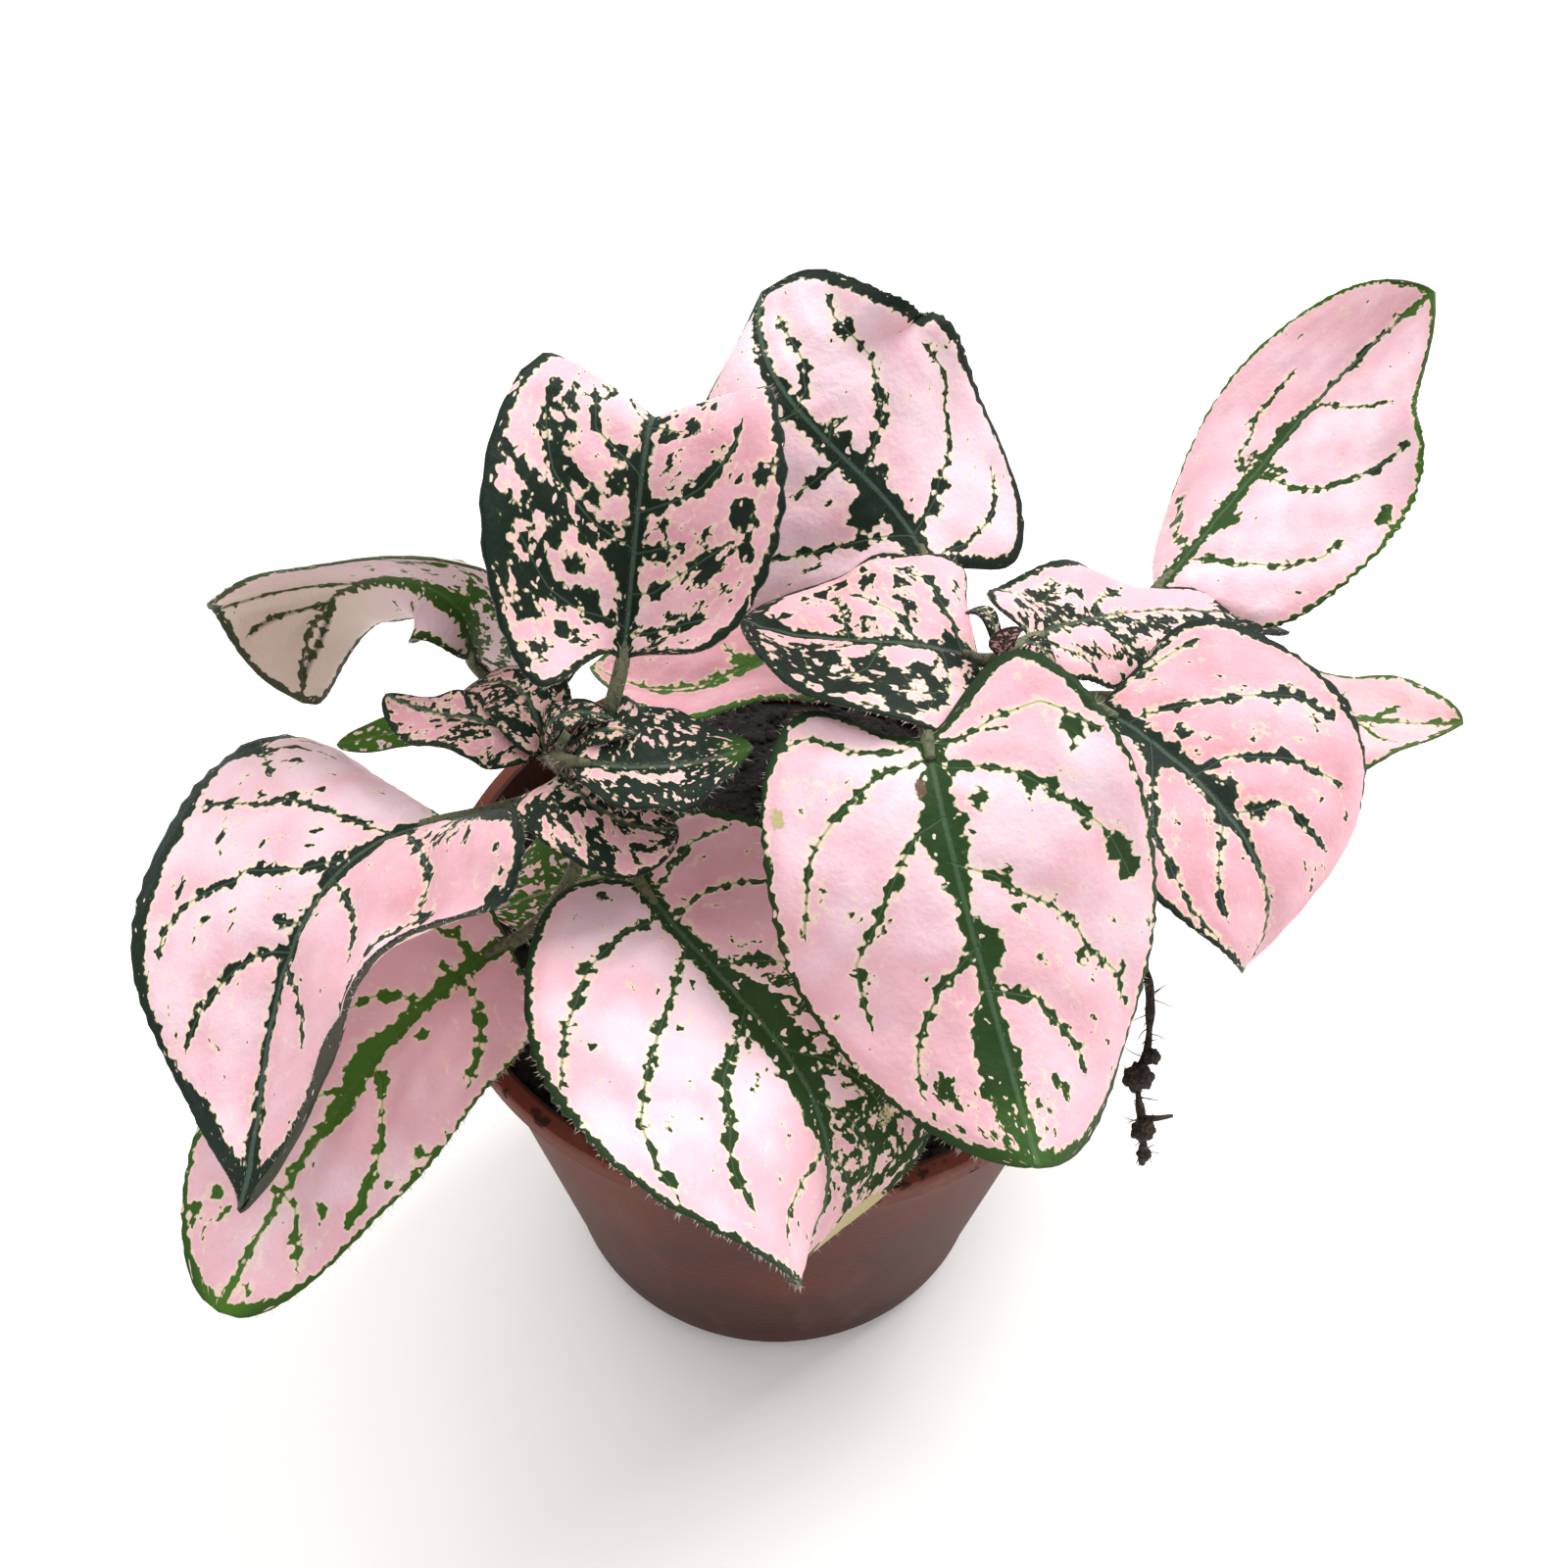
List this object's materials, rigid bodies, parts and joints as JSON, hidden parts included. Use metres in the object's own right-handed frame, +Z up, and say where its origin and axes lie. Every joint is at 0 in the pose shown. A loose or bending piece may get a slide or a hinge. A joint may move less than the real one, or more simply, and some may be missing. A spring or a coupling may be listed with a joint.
{
  "type": "potted polka dot plant",
  "caption": "Polka dot plant with pink, green-speckled leaves on leafy shoots, standing in soil in a round tapered nursery pot.",
  "frame": {"origin": "centre of the pot's flat underside", "axes": "+Z up along the pot's axis; -Y is the front, where the plant leans out over the rim; +X is the viewer's right"},
  "size_m": [0.1646, 0.1448, 0.1369],
  "materials": {
    "pot": "satin moulded plastic, brown terracotta colour",
    "soil": "loose dark peat",
    "leaf": "soft pink leaf with dark green markings and fine hairs",
    "withered": "dry dark root and peat crumbs"
  },
  "bodies": {
    "root": {"pot": "pot", "soil": "soil", "shoot_left": "leaf", "shoot_right": "leaf", "shoot_low_left": "leaf", "shoot_low_right": "leaf", "withered_shoot": "withered"}
  },
  "joints": []
}
